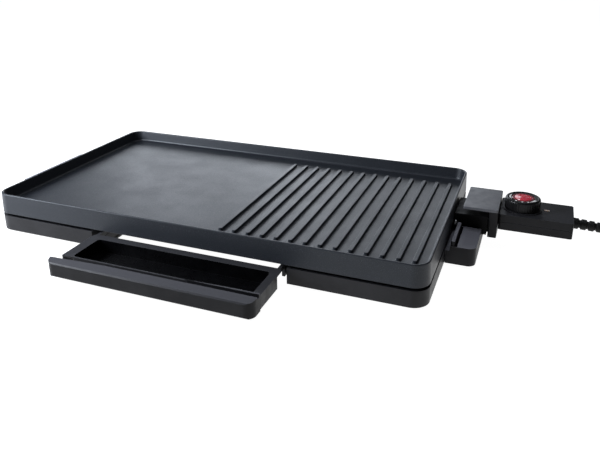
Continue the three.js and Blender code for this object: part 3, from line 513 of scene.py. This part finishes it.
def make_cord():
    plug_low, plug_high = extent("plug_body")
    plug_y = (plug_low.y + plug_high.y) / 2
    plug_z = (plug_low.z + plug_high.z) / 2
    tail = [
        (plug_high.x + 8, plug_y + 0.3, plug_z - 0.9),
        (plug_high.x, plug_y, plug_z - 0.1),
        (plug_high.x - 9, plug_y, plug_z),
    ]
    route = CORD_ROUTE + coil_points() + tail
    curve = bpy.data.curves.new("cord", "CURVE")
    curve.dimensions = "3D"
    curve.bevel_depth = 1
    curve.bevel_resolution = 6
    curve.resolution_u = 4
    curve.use_fill_caps = True
    spline = curve.splines.new("BEZIER")
    spline.bezier_points.add(len(route) - 1)
    places = [Vector(place) * MM for place in route]
    for i, point in enumerate(spline.bezier_points):
        here, before, after = places[i], places[max(i - 1, 0)], places[min(i + 1, len(places) - 1)]
        way = (after - before).normalized()
        point.co = here
        point.radius = CORD_R * MM
        point.handle_left = here - way * (here - before).length / 3
        point.handle_right = here + way * (after - here).length / 3
    cord = bpy.data.objects.new("mains_cord", curve)
    bpy.context.scene.collection.objects.link(cord)
    adopt(cord, "cord_lead", "cord_coil")
    return cord


PLUG_GROOVES = 4
PLUG_GROOVE_R = 1.1
PLUG_GROOVE_HALF = 9
PLUG_GROOVE_START = 17.5
PLUG_GROOVE_PITCH = 2.6
PLUG_GROOVE_DEPTH = 2.4
PLUG_GROOVE_STEP_IN = 1.75


def make_plug():
    """A body that narrows towards the lead, with finger grooves across it above and below."""
    low, high = extent("plug_body")
    y, z = (low.y + high.y) / 2, (low.z + high.z) / 2
    radius = (high.y - low.y) / 2
    length = high.x - low.x
    profile = soften([
        (radius - 5, 0), (radius - 0.2, 0), (radius, 13), (radius - 1.2, 16), (10.6, 26.5), (6, length - 9),
        (4.7, length - 0.4), (4.0, length),
    ], 1.6)
    plug = lathe("plug_body_fine", profile, along_x(low.x, y, z), 64)
    for side in (-1, 1):
        for i in range(PLUG_GROOVES):
            away = radius - PLUG_GROOVE_DEPTH - i * PLUG_GROOVE_STEP_IN
            along = low.x + PLUG_GROOVE_START + i * PLUG_GROOVE_PITCH
            place = Matrix.Translation((along, y, z + side * away)) @ Matrix.Rotation(math.pi / 2, 4, "X")
            rod = [(PLUG_GROOVE_R, -PLUG_GROOVE_HALF), (PLUG_GROOVE_R, PLUG_GROOVE_HALF)]
            tool = lathe("groove", rod, place, 16)
            combine(plug, tool, "DIFFERENCE")
    polish(plug, 50)
    return adopt(plug, "plug_body")


def make_plug_pins():
    pins = []
    for node in ("plug_pin_1", "plug_pin_2"):
        low, high = extent(node)
        r = (high.z - low.z) / 2
        tip = [(r * 0.35, 0), (r * 0.75, 0.35), (r, 1.3), (r, high.x - low.x)]
        pin = lathe(f"{node}_fine", tip, along_x(low.x, (low.y + high.y) / 2, (low.z + high.z) / 2), 32)
        polish(pin, 60)
        pins.append(adopt(pin, node))
    return pins


def make_cord_pieces():
    cord = make_cord()
    plug = make_plug()
    pins = make_plug_pins()
    tie = refined("cord_tie", 0.35)


# ---- Plate
PLATE_CORNER = 16
FLOOR_DEPTH = 13.2
FLOOR_THICKNESS = 3.2
RIB_COUNT = 14
RIB_PITCH = 15.18
FIRST_RIB = 265.2
RIB_HALF = 2.5
RIB_HEIGHT = 3.0
RIB_CORNER = 1.9
RIB_FRONT = 27
RIB_REAR = 235
DRAIN_CENTRE = (240, 17)
DRAIN_SIZE = (26, 7)


def plate_shell():
    """Skirt, rim and pan floor in one skin: the walls lean a little, and a fillet joins wall and floor."""
    low, high = extent("griddle_plate")
    top, skirt = high.z, low.z
    floor = top - FLOOR_DEPTH
    under = floor - FLOOR_THICKNESS
    # distance in from the outline, height, and radius of the corner
    corners = [
        (9, under, 0), (3, under, 1), (3, skirt, 0.5), (0.05, skirt, 0.5),
        (0.8, top, 1.1), (3.2, top, 1.1), (5.6, floor, 2.6), (13, floor, 0),
    ]
    section = soften([(inset, z) for inset, z, _ in corners], [r for _, _, r in corners[1:-1]], 5)
    rings = [rounded_ring(low, high, inset, PLATE_CORNER, z, 12) for inset, z in section]
    return loft("griddle_plate_fine", rings)


def rib(low, x):
    """A low ridge with steep flanks and a small fillet at its foot."""
    floor = extent("griddle_plate")[1].z - FLOOR_DEPTH
    section = [
        (-0.7, -0.4), (-0.55, 0.02), (-0.15, 0.15), (0.05, 0.5), (0.45, RIB_HEIGHT - 0.45),
        (0.65, RIB_HEIGHT - 0.12), (1.0, RIB_HEIGHT),
    ]
    rings = []
    for inset, z in section:
        start = (x - RIB_HALF, low.y + RIB_FRONT)
        end = (x + RIB_HALF, low.y + RIB_REAR)
        rings.append(rounded_ring(start, end, inset, RIB_CORNER, floor + z, 4))
    return loft("rib", rings)


def drain_cutter(low):
    """The slot that fat runs down, a little wider at its mouth."""
    cx, cy = low.x + DRAIN_CENTRE[0], low.y + DRAIN_CENTRE[1]
    half = DRAIN_SIZE[1] / 2
    reach = DRAIN_SIZE[0] / 2 - half
    floor = extent("griddle_plate")[1].z - FLOOR_DEPTH
    rings = []
    for grow, z in [(0, -6), (0, -0.9), (0.3, -0.3), (0.9, 0.02), (0.9, 1)]:
        r = half + grow
        plan = arc_points(cx + reach, cy, r, -90, 90, 12) + arc_points(cx - reach, cy, r, 90, 270, 12)
        rings.append([(px, py, floor + z) for px, py in plan])
    return loft("drain", rings)


def make_plate():
    low, _ = extent("griddle_plate")
    plate = plate_shell()
    for i in range(RIB_COUNT):
        combine(plate, rib(low, low.x + FIRST_RIB + i * RIB_PITCH), "UNION")
    combine(plate, drain_cutter(low), "DIFFERENCE")
    polish(plate, 35)
    adopt(plate, "griddle_plate")


# ---- Knob
KNOB_TEETH = 44
STEPS_PER_TOOTH = 6
KNURL_DEPTH = 0.22
KNURL_SHARPNESS = 0.6
DIAL_RADIUS = 13.2
LENS_RADIUS = 11.2
RED_RING_FROM = 8.7


def make_knob():
    """A knurled knob with a rounded rim and a sunk dial, open in the middle for the lens."""
    low, high = extent("knob")
    cx, cy = (low.x + high.x) / 2, (low.y + high.y) / 2
    radius = (high.x - low.x) / 2
    seat = LENS_RADIUS + 0.3
    top = high.z
    count = KNOB_TEETH * STEPS_PER_TOOTH
    # radius, height, and share of the knurl's depth
    section = [
        (radius - 1.2, low.z, 0), (radius - 0.5, low.z + 0.2, 0.5), (radius, low.z + 0.9, 1),
        (radius - 0.1, top - 2.2, 1), (radius - 0.35, top - 1.3, 0.6), (radius - 0.9, top - 0.5, 0),
        (radius - 1.7, top - 0.08, 0), (radius - 2.4, top, 0), (radius - 2.9, top - 0.12, 0),
        (radius - 3.3, top - 0.35, 0), (seat + 0.4, top - 0.35, 0),
        (seat, top - 0.6, 0), (seat, top - 1.6, 0),
    ]
    rings = []
    for r, z, knurl in section:
        ring = []
        for k in range(count):
            angle = 2 * math.pi * k / count
            dip = KNURL_DEPTH * knurl * (0.5 - 0.5 * math.cos(KNOB_TEETH * angle)) ** KNURL_SHARPNESS
            ring.append((cx + (r - dip) * math.cos(angle), cy + (r - dip) * math.sin(angle), z))
        rings.append(ring)
    knob = loft("knob_fine", rings)
    polish(knob, 60)
    adopt(knob, "knob")


def make_knob_lens():
    """Stepped rings, the outer ones a darker red."""
    low, high = extent("knob_lens")
    cx, cy = (low.x + high.x) / 2, (low.y + high.y) / 2
    r = LENS_RADIUS
    top = high.z - 0.4
    profile = [
        (r - 0.2, low.z), (r, low.z + 0.2), (r, top - 0.55), (r - 0.3, top - 0.3),
        (9.1, top - 0.3), (8.9, top - 0.6), (8.6, top - 0.6), (8.4, top - 0.1),
        (7.4, top + 0.02), (7.2, top - 0.08), (5.2, top + 0.1), (5.0, top),
        (3.2, top + 0.18), (3.0, top + 0.08), (1.0, top + 0.24), (0.2, top + 0.25),
    ]
    piece = lathe("knob_lens_fine", profile, Matrix.Translation((cx, cy, 0)), 72)
    piece.data.materials.append(FINISHES["red_lens"])
    piece.data.materials.append(RED_RING)
    for face in piece.data.polygons:
        distance = math.hypot(face.center.x / MM - cx, face.center.y / MM - cy)
        face.material_index = 1 if distance > RED_RING_FROM else 0
    polish(piece, 30)
    adopt(piece, "knob_lens")


# angles on the dial in degrees, and the print's depth below the knob's top
CRESCENT = (152, 212)
DOTS = (240, 268, 294)
DOT_HALF = 4.5
WEDGE = (304, 338)
PRINT_UNDER, PRINT_TOP = 0.36, 0.27


def dial_patch(inner, outer, heights, verts, faces):
    """Adds a thin raised strip whose outline is two rows of points."""
    base = len(verts)
    count = len(inner)
    for z in heights:
        verts.extend((x, y, z) for x, y in inner)
        verts.extend((x, y, z) for x, y in outer)
    for k in range(count - 1):
        a, b = base + k, base + count + k
        up = 2 * count
        faces.append((a, b, b + 1, a + 1))
        faces.append((a + up, a + up + 1, b + up + 1, b + up))
        faces.append((a, a + 1, a + 1 + up, a + up))
        faces.append((b + 1, b, b + up, b + 1 + up))
    for k in (0, count - 1):
        a, b = base + k, base + count + k
        quad = (a, a + 2 * count, b + 2 * count, b)
        faces.append(quad if k == 0 else tuple(reversed(quad)))


def make_dial_marks():
    """A crescent, three dots and a growing wedge round the lens."""
    low, high = extent("knob")
    cx, cy = (low.x + high.x) / 2, (low.y + high.y) / 2
    heights = (high.z - PRINT_UNDER, high.z - PRINT_TOP)
    verts, faces = [], []

    def strip(start, end, width, steps=18):
        inner, outer = [], []
        for i in range(steps + 1):
            t = i / steps
            angle = math.radians(start + (end - start) * t)
            half = width(t) / 2
            for row, r in ((inner, DIAL_RADIUS - half), (outer, DIAL_RADIUS + half)):
                row.append((cx + r * math.cos(angle), cy + r * math.sin(angle)))
        dial_patch(inner, outer, heights, verts, faces)

    strip(*CRESCENT, lambda t: 0.3 + 1.6 * math.sin(math.pi * t))
    for angle in DOTS:
        strip(angle - DOT_HALF, angle + DOT_HALF, lambda t: 0.3 + 1.7 * math.sin(math.pi * t) ** 0.5, 10)
    strip(*WEDGE, lambda t: 0.7 + 2.5 * t)
    marks = mesh_object("dial_marks", verts, faces)
    marks.data.materials.append(PRINT)
    polish(marks, 30)
    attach(marks, BODY_OF["knob"])


# ---- Strain relief
SLEEVE_DROOP = math.radians(3)
SLEEVE_RIBS = 5
SLEEVE_Z = 31
SLEEVE_R = 5.65
SLEEVE_TAPER = 0.17
SLEEVE_RIB_DEPTH = 1.5
SLEEVE_RIB_START = 0.3
# ends of a rib, of the slope behind it and of the groove, as shares of the pitch
SLEEVE_RIB_END, SLEEVE_SLOPE_END, SLEEVE_GROOVE_END = 0.66, 0.72, 0.97


def make_strain_relief():
    """A ribbed sleeve that narrows and leans down a little towards the lead."""
    end = extent("housing_top")[1].x
    length = (extent("strain_relief")[1].x - end) / math.cos(SLEEVE_DROOP)
    pitch = (length - 1) / SLEEVE_RIBS
    points = [(4.0, -2.4), (5.2, -2.4), (5.2, 0.1)]
    for i in range(SLEEVE_RIBS):
        h = SLEEVE_RIB_START + i * pitch
        r = SLEEVE_R - i * SLEEVE_TAPER
        groove = r - SLEEVE_RIB_DEPTH
        points += [(r, h), (r, h + pitch * SLEEVE_RIB_END)]
        points += [(groove, h + pitch * SLEEVE_SLOPE_END), (groove, h + pitch * SLEEVE_GROOVE_END)]
    points += [(3.7, length - 0.2)]
    place = Matrix.Translation((end, BODY_Y, SLEEVE_Z)) @ Matrix.Rotation(SLEEVE_DROOP, 4, "Y")
    lying = place @ Matrix.Rotation(math.pi / 2, 4, "Y")
    piece = lathe("strain_relief_fine", soften(points, 0.55, 3), lying, 40)
    polish(piece, 50)
    adopt(piece, "strain_relief")


# ---- Pieces that keep their modelled shape, with rounded edges
ROUNDED = {
    "base_frame": 0.7,
    "tray_rail_left": 0.4,
    "tray_rail_right": 0.4,
    "heat_shield": 0.25,
    "handle_left": 1.0,
    "handle_right": 1.0,
    "handle_guard_left": 0.6,
    "handle_guard_right": 0.6,
    "drip_tray": 0.5,
    "tray_front": 0.5,
    "terminal_guard": 0.4,
    "controller_roof": 0.5,
    "controller_neck": 0.4,
    "contact_carrier": 0.3,
    "housing_bottom": 0.6,
    "housing_top": 0.8,
    "indicator_lens": 0.3,
}


# the basin's edges, in from the drip tray's box, and the heights of its floor and rim
BASIN_LEFT, BASIN_FRONT, BASIN_RIGHT, BASIN_REAR = 11, 1, 7.4, 24.5
BASIN_FLOOR = 1
RIM_THICKNESS = 0.2


def finish_drip_tray():
    """Glossy inside, rougher on the rim, the skirts and underneath."""
    tray = bpy.data.objects["drip_tray_fine"]
    tray.data.materials.append(ROUGH_ENAMEL)
    low, high = extent("drip_tray")
    for face in tray.data.polygons:
        x, y, z = face.center / MM
        across = low.x + BASIN_LEFT < x < high.x - BASIN_RIGHT
        along = low.y + BASIN_FRONT < y < high.y - BASIN_REAR
        between = low.z + BASIN_FLOOR < z < high.z - RIM_THICKNESS
        face.material_index = 0 if across and along and between else 1


def finish_plain_nodes():
    """Whatever is still shown as modelled gets its finish."""
    for name, node in frame["nodes"].items():
        if not node.hide_render:
            node.data.materials.clear()
            node.data.materials.append(FINISHES[SLOT_OF[name]])


# ---- Floor and light
FLOOR_REACH = 80000
FLOOR_GLOW = 0.98
SHADE_INSET = 14
SHADE_Z = 0.05
WORLD_LIGHT = 0.08
# name, degrees to the left of +Y, degrees up, metres away, width and height in metres, radiance
SOFTBOXES = [
    ("rear", 30, 20, 1.6, (0.8, 0.5), 4.3),
    ("rear_right", 8, 22, 1.6, (0.8, 0.5), 3.1),
    ("rear_left", 52, 20, 1.6, (0.8, 0.5), 0.7),
    ("front_left", 125, 24, 0.75, (0.35, 0.35), 30.0),
    ("overhead", 0, 80, 1.8, (1.2, 1.2), 2.0),
]
LIGHT_COLOUR = (0.87, 0.92, 1.0)


def table_finish(name, mottle, dark, light):
    """Matt grey with patches of about mottle millimetres."""
    finish = Finish(name, Specular_IOR_Level=0.05)
    finish.colour(finish.blend(finish.noise(mottle, 2), (dark, dark, dark), (light, light, light)))
    finish.roughness(finish.between(finish.noise(40, 2), 0.75, 0.85))
    return finish


def make_floor():
    """A table top that glows, so that it is white all over and shows no shadow."""
    finish = table_finish("floor", 300, 0.3, 0.32)
    finish.glow((1, 1, 1), FLOOR_GLOW)
    s = FLOOR_REACH
    floor = mesh_object("floor", [(-s, -s, 0), (s, -s, 0), (s, s, 0), (-s, s, 0)], [(0, 1, 2, 3)])
    floor.data.materials.append(finish.material)


def make_painted_shade():
    """A dark sheet on the table, painted shade where the base and handles keep it dark, clear of the tray's
    bay.
    """
    low, high = extent("base_frame")
    bay_left = extent("tray_rail_left")[0].x - SHADE_INSET
    bay_right = extent("tray_rail_right")[1].x + SHADE_INSET
    bay_rear = extent("tray_rail_left")[1].y + SHADE_INSET
    left, right = low.x + SHADE_INSET, high.x - SHADE_INSET
    front, rear = low.y + SHADE_INSET, high.y - SHADE_INSET
    plans = [
        (left, bay_left, front, bay_rear),
        (bay_right, right, front, bay_rear),
        (left, right, bay_rear, rear),
    ]
    for side in ("left", "right"):
        grip_low, grip_high = extent(f"handle_{side}")
        reach = (grip_low.x + SHADE_INSET, left) if side == "left" else (right, grip_high.x - SHADE_INSET)
        plans.append((*reach, grip_low.y + SHADE_INSET, grip_high.y - SHADE_INSET))
    points = []
    for x0, x1, y0, y1 in plans:
        points += [(x0, y0, SHADE_Z), (x1, y0, SHADE_Z), (x1, y1, SHADE_Z), (x0, y1, SHADE_Z)]
    faces = [tuple(range(first, first + 4)) for first in range(0, len(points), 4)]
    # painted shade: a dark sheet lying just above the table
    painted_shade = mesh_object("painted_shade", points, faces)
    painted_shade.data.materials.append(table_finish("painted_shade", 60, 0.05, 0.08).material)


def softbox(name, azimuth, elevation, distance, size, radiance):
    """A rectangular light aimed at the plate, which the camera doesn't see."""
    low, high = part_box("griddle_plate")
    target = (low + high) / 2
    a, e = math.radians(azimuth), math.radians(elevation)
    way = Vector((-math.sin(a) * math.cos(e), math.cos(a) * math.cos(e), math.sin(e)))
    data = bpy.data.lights.new(name, "AREA")
    data.shape = "RECTANGLE"
    data.size, data.size_y = size
    data.energy = radiance * math.pi * size[0] * size[1]
    data.color = LIGHT_COLOUR
    light = bpy.data.objects.new(name, data)
    light.location = target + way * distance
    light.rotation_euler = (-way).to_track_quat("-Z", "Y").to_euler()
    light.visible_camera = False
    bpy.context.scene.collection.objects.link(light)


def make_light():
    world = bpy.data.worlds.new("studio")
    world.use_nodes = True
    background = world.node_tree.nodes["Background"]
    background.inputs["Color"].default_value = (1, 1, 1, 1)
    background.inputs["Strength"].default_value = WORLD_LIGHT
    bpy.context.scene.world = world
    for box in SOFTBOXES:
        softbox(*box)
    bpy.context.scene.view_settings.view_transform = "Standard"


make_camera()
make_cord_pieces()
make_plate()
make_knob()
make_knob_lens()
make_dial_marks()
make_strain_relief()
for node_name, bevel in ROUNDED.items():
    refined(node_name, bevel)
finish_drip_tray()
finish_plain_nodes()
make_floor()
make_painted_shade()
make_light()
